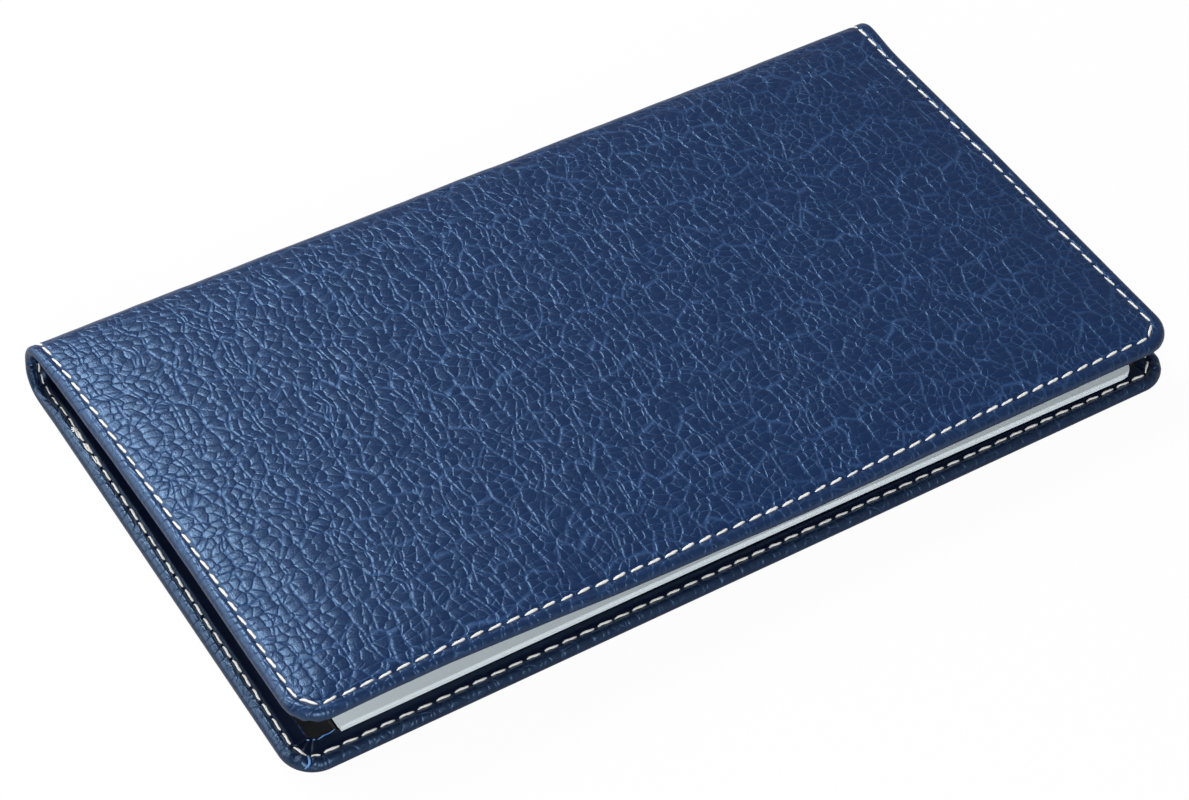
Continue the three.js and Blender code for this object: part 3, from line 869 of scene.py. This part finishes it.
def thread(name, place, inner_face, seed):
    """Every stitch of one face as a short twisted two-ply thread whose ends sink into the leather."""
    rng = np.random.default_rng(seed)
    points, faces = [], []
    u = np.linspace(0, 1, THREAD_ALONG + 1)
    round_a = np.linspace(0, 2 * np.pi, THREAD_AROUND, endpoint=False)
    runs = stitches(BACK_LEFT_TURN if place is back else PLAIN_TURN, INNER_TURN if inner_face else OUTER_TURN)
    if place is back and inner_face:
        # The seam starts and ends here: three stitches are sewn over twice
        runs += [(a + TWICE_START, b + TWICE_END) for a, b in runs
                 if a[0] < TWICE_X and TWICE_S[0] < a[1] < TWICE_S[1]]
    for a, b in runs:
        a = a + rng.normal(0, STITCH_SCATTER, 2)
        b = b + rng.normal(0, STITCH_SCATTER, 2)
        _, side = direction(a, b)
        line = a + (b - a) * u[:, None]
        line = line + side * (SWAY * np.sin(2 * np.pi * u))[:, None]
        rise = 1 - np.abs(2 * u - 1) ** 4
        r = (INNER_RADIUS if inner_face else OUTER_RADIUS) + rng.normal(0, RADIUS_SCATTER)
        r = r * (0.5 + 0.5 * np.sin(np.pi * u) ** 0.5)
        if inner_face and a[0] < 0:
            r = r * np.interp(a[1], TIGHT_S, TIGHT)
        spin = rng.uniform(0, np.pi)
        ply = 1 + PLY * np.cos(2 * (round_a[None, :] - spin - PLY_TURNS * u[:, None]))
        off = r[:, None] * ply * np.cos(round_a)[None, :]
        up = THREAD_HEIGHT * r[:, None] * ply * np.sin(round_a)[None, :]
        xy = line[:, None, :] + side * off[..., None]
        x, s = xy[..., 0], xy[..., 1]
        arch = ARCH * rise[:, None] - ARCH_SINK
        if inner_face:
            thick = thickness(s)
            if place is front:
                thick = thick - slim(x, np.maximum(s - SEAM, 0)) * slim_share(border(x, s))
            h = thick - INNER_SINK + arch + up
        else:
            h = OUTER_SINK - arch - up
            if place is front:
                h = h - crown(x, s)
        faces += tube_faces(len(points) * (THREAD_ALONG + 1) * THREAD_AROUND, THREAD_ALONG, THREAD_AROUND)
        points.append(place(x.ravel(), s.ravel(), h.ravel()))
    if (place is back) != inner_face:
        faces = flipped(faces)
    return new_piece(name, np.concatenate(points), faces, [THREAD])


for name, place, inner_face, body, seed in (
    ("front_seam_outer_thread", front, False, "front_cover", 23),
    ("front_seam_inner_thread", front, True, "front_cover", 23),
    ("back_seam_outer_thread", back, False, "back_cover", 22),
    ("back_seam_inner_thread", back, True, "back_cover", 22),
):
    bend_with(thread(name, place, inner_face, seed), body)


STRAND_SIDES = 8
STRAND_STEPS = 6         # steps between two given points
SMOOTHINGS = 3


def strands(name, paths, mat):
    """Loose strands: smooth tubes of the back cover, each a list of (x, s, h, radius)."""
    points, faces = [], []
    round_a = np.linspace(0, 2 * np.pi, STRAND_SIDES, endpoint=False)[:, None]
    for path in paths:
        path = np.array(path, float)
        t = np.linspace(0, len(path) - 1, STRAND_STEPS * (len(path) - 1) + 1)
        line = np.stack([np.interp(t, np.arange(len(path)), path[:, c]) for c in range(4)], -1)
        for _ in range(SMOOTHINGS):
            line[1:-1] = (line[:-2] + 2 * line[1:-1] + line[2:]) / 4
        mid = back(*line[:, :3].T)
        ahead = np.gradient(mid, axis=0)
        ahead /= np.linalg.norm(ahead, axis=1)[:, None]
        side = np.cross(ahead, (0, 0, 1.0))
        side /= np.linalg.norm(side, axis=1)[:, None]
        up = np.cross(side, ahead)
        faces += tube_faces(len(points) * STRAND_SIDES, len(mid) - 1, STRAND_SIDES)
        for i in range(len(mid)):
            points.append(mid[i] + line[i, 3] * (np.cos(round_a) * side[i] + np.sin(round_a) * up[i]))
    return new_piece(name, np.concatenate(points), faces, [mat])


def on_roll(angle, roll):
    """A point on the rolled edge at the back cover's left corner, from its angles in degrees."""
    a, r = math.radians(angle), math.radians(roll)
    rb = THICK / 2
    reach = CORNER - rb + rb * math.cos(r)
    cx = HALF_LENGTH - CORNER
    return (-cx - reach * math.cos(a), CORNER - reach * math.sin(a), rb + rb * math.sin(r))


def tuft_paths():
    """The tied-off ends of the back seam: a small tuft of fibres beside the stitches."""
    rng = np.random.default_rng(5)
    h = THICK - 0.15
    paths = []
    for _ in range(9):
        x, s = -HALF_LENGTH + SEAM + rng.normal(0, 0.12), 79.2 + rng.normal(0, 0.15)
        dx, ds = rng.uniform(-0.9, -0.2), rng.uniform(-0.3, 0.9)
        rise = rng.uniform(0.1, 0.4)
        paths.append([(x, s, h, 0.11), (x + dx * 0.5, s + ds * 0.4, h + rise, 0.11),
                      (x + dx, s + ds, h + rise * 0.6, 0.07)])
    return paths


CORNER_STRAND = [
    [(*on_roll(52, 100), 0.14), (*on_roll(56, 72), 0.2), (*on_roll(56, 45), 0.2), (*on_roll(50, 12), 0.1)],
]
FRAY = [
    [(-79.4, 4.55, THICK - 0.02, 0.06), (-78.2, 4.75, THICK + 0.04, 0.11),
     (-77.2, 4.7, THICK, 0.09), (-76.2, 4.95, THICK, 0.05)],
    [(-80.9, 5.3, THICK, 0.1), (-80.6, 5.05, THICK + 0.05, 0.13)],
    [(-80.1, 4.85, THICK, 0.08), (-79.8, 4.75, THICK + 0.04, 0.11)],
]
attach(strands("corner_loose_strand", CORNER_STRAND, BLUE), "back_cover")
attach(strands("hem_fray", FRAY, BLUE), "back_cover")
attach(strands("seam_knot_tuft", tuft_paths(), THREAD), "back_cover")


# ---------------------------------------------------------------- layers inside the front cover
PLATE_CORNER = 2.0
PLATE_CELLS = (60, 36)
PAD_CELLS = (80, 44)
PAD_IN = 6.0             # the padding stays this far in from the border, and this far from the fold
PAD_FOLD_GAP = 2.5
PAD_BOTTOM, PAD_LEAST = 0.70, 0.01


def plate(name, node, mat):
    """A thin layer that takes a back-cover node's outline and depths, laid in the front cover."""
    low, high = (np.array(v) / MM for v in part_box(node))
    s0, s1 = low[1] + HALF_WIDTH, high[1] + HALF_WIDTH
    nx, ny = PLATE_CELLS
    points = []
    for h in (low[2], high[2]):
        for s in s0 + (s1 - s0) * cosine_steps(ny):
            pull = corner_pull(PLATE_CORNER, min(s - s0, s1 - s))
            points.append(front(np.linspace(low[0] + pull, high[0] - pull, nx + 1), s, h))
    return new_piece(name, np.concatenate(points), slab_faces(nx, ny), [mat], smooth=False)


for name, like, node, mat, slot in (
    ("front_board_layer", "back_board", "front_board", BOARD, "board"),
    ("front_lining_layer", "back_lining", "front_lining", LINING, "lining"),
    ("front_pocket_layer", "back_pocket_panel", "front_pocket_panel", PANEL, "pocket_panel"),
    ("front_card_layer", "calendar_back_card", "calendar_front_card", CARD, "card"),
):
    piece = plate(name, like, mat)
    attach(piece, "front_cover")
    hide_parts(node)


def padding():
    """The foam under the front cover's leather, thick in the middle and fading to its edges."""
    nx, ny = PAD_CELLS
    x = np.linspace(-HALF_LENGTH + PAD_IN, HALF_LENGTH - PAD_IN, nx + 1)
    gx, gs = (part.ravel() for part in np.meshgrid(x, np.linspace(PAD_IN, TOP - PAD_FOLD_GAP, ny + 1)))
    top = np.minimum(SKIN + 0.05 - dome(gx, gs), PAD_BOTTOM - PAD_LEAST)
    points = np.concatenate([front(gx, gs, top), front(gx, gs, PAD_BOTTOM)])
    return new_piece("front_padding_layer", points, slab_faces(nx, ny), [FOAM])


pad = padding()
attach(pad, "front_cover")
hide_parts("front_padding")


# ---------------------------------------------------------------- leaves
LEAF_CELLS = (90, 30)
LEAF_WAVE, LEAF_WAVE_SPREAD, LEAF_WAVE_PHASE = 0.12, 31, 0.7
LEAF_SLACK = 0.12        # how unevenly the leaves are cut
LEAF_LONGER = 1.5        # a leaf's right end stands this far out past its plan
LEAF_CORNER = 2.4
# A leaf's free edge stands this far out past its plan: at the middle, then growing with x and with x squared
LEAF_EDGE = (0.3, 0.7, 0.4)
LOWEST_LEAF_EDGE = (0.0, 0.7, 0.0)
FLYLEAF_EDGE = (0.0, 0.3, 0.0)


def leaf_wave(x, t):
    """How far a leaf lies off its flat plane, t from 0 at the fold to 1 at its free edge."""
    return LEAF_WAVE * np.sin(x / LEAF_WAVE_SPREAD + LEAF_WAVE_PHASE) * t * t


def leaf(name, node, mat, slack, edge, longer, lifted, corner, seed):
    """A leaf in its CAD node's place, slightly waved or lifted with the cover, its edge out of square."""
    low, high = (np.array(v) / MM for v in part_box(node))
    co = np.array([v.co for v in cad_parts[node].data.vertices]) / MM
    at_fold, at_edge = co[co[:, 1] > high[1] - 0.5, 2], co[co[:, 1] < low[1] + 0.5, 2]
    fold_z, free_z, thick = at_fold.mean(), at_edge.mean(), at_fold.max() - at_fold.min()
    nx, ny = LEAF_CELLS
    free = low[1] + np.random.default_rng(seed).uniform(-slack, slack)
    points = []
    for side in (-0.5, 0.5):
        for t in cosine_steps(ny):
            pull = corner_pull(corner, (1 - t) * (high[1] - free))
            x = np.linspace(low[0], high[0] + longer - pull, nx + 1)
            u = x / high[0]
            y = high[1] + (free - edge[0] - edge[1] * u - edge[2] * u * u - high[1]) * t
            z = fold_z + (free_z - fold_z) * t + side * thick
            z = z + (lift(x, y + HALF_WIDTH) if lifted else leaf_wave(x, t))
            points.append(np.stack([x, y, z], -1))
    piece = new_piece(name, np.concatenate(points), slab_faces(nx, ny), [mat], smooth=False)
    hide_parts(node)
    return piece


for k in range(1, 7):
    edge = LEAF_EDGE if k > 1 else LOWEST_LEAF_EDGE
    piece = leaf(f"leaf_sheet_{k}", f"calendar_leaf_{k}", PAPER, LEAF_SLACK, edge, LEAF_LONGER, False,
                 LEAF_CORNER, 100 + k)
    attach(piece, f"leaf_{k}")
flyleaf = leaf("flyleaf_card", "calendar_flyleaf", CARD, 0.0, FLYLEAF_EDGE, 0, True, 0.01, 200)
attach(flyleaf, "flyleaf")


# ---------------------------------------------------------------- CAD nodes that stay
for node, mat in {
    "back_board": BOARD, "back_lining": LINING, "back_pocket_panel": PANEL, "calendar_back_card": CARD,
    "spine_lining": LINING, "calendar_spine_card": CARD, "staple_1": WIRE, "staple_2": WIRE,
}.items():
    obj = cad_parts[node]
    obj.data.materials.clear()
    obj.data.materials.append(mat)


# ---------------------------------------------------------------- studio
FLOOR_RADIUS, FLOOR_SIDES, FLOOR_Z = 1.6, 24, -0.0001
FLOOR_LIT, FLOOR_SEEN = 0.6, 0.97    # the floor's grey as a light bounces off it, and as the camera sees it
FLOOR_GLOW = 0.96                    # how much of the seen floor is plain white
WORLD_LIGHT = 0.24


def make_floor():
    g = Graph(bpy.data.materials.new("white_floor"))
    light = g.node("ShaderNodeLightPath")
    seen = g.calc("ADD", light.outputs["Is Camera Ray"], light.outputs["Is Transmission Ray"], True)
    colour = g.mix(seen, grey(FLOOR_LIT), grey(FLOOR_SEEN))
    g.surface({"Base Color": colour, "Roughness": 0.9, "Specular IOR Level": 0.1})
    glow = g.node("ShaderNodeEmission", {"Strength": 1.0}).outputs[0]
    shaders = {0: g.product(seen, FLOOR_GLOW), 1: g.nodes["Principled BSDF"].outputs[0], 2: glow}
    g.feed(g.nodes["Material Output"].inputs["Surface"], g.node("ShaderNodeMixShader", shaders).outputs[0])
    turns = [2 * math.pi * i / FLOOR_SIDES for i in range(FLOOR_SIDES)]
    ring = [(FLOOR_RADIUS * math.cos(a), FLOOR_RADIUS * math.sin(a), FLOOR_Z) for a in turns]
    floor = new_piece("floor", np.array(ring) / MM, [tuple(range(FLOOR_SIDES))], [g.owner], smooth=False)


def make_world():
    """Soft even light, and plain white where the camera sees past the floor."""
    world = bpy.context.scene.world or bpy.data.worlds.new("world")
    bpy.context.scene.world = world
    g = Graph(world)
    g.nodes.clear()
    camera_ray = g.node("ShaderNodeLightPath").outputs["Is Camera Ray"]
    soft, white = (g.node("ShaderNodeBackground", {0: grey(1.0), 1: strength}).outputs[0]
                   for strength in (WORLD_LIGHT, 1.0))
    mixed = g.node("ShaderNodeMixShader", {0: camera_ray, 1: soft, 2: white}).outputs[0]
    g.node("ShaderNodeOutputWorld", {0: mixed})


def area(name, at, target, size, watts):
    data = bpy.data.lights.new(name, "AREA")
    data.shape = "RECTANGLE"
    data.size, data.size_y = size
    data.energy = watts
    lamp = bpy.data.objects.new(name, data)
    lamp.location = at
    lamp.rotation_mode = "QUATERNION"
    lamp.rotation_quaternion = (Vector(target) - Vector(at)).to_track_quat("-Z", "Y")
    bpy.context.scene.collection.objects.link(lamp)


make_floor()
make_world()
area("back_softbox", (-0.11, 0.517, 0.618), (-0.1, 0.02, 0.01), (0.2, 0.3), 3.35)
area("front_softbox", (-0.35, -0.85, 0.4), (0, 0, 0), (0.7, 0.5), 6.3)
area("left_softbox", (-0.42, 0.35, 0.23), (-0.08, 0, 0.01), (0.6, 0.42), 1.75)
scene = bpy.context.scene
scene.view_settings.view_transform = "Standard"
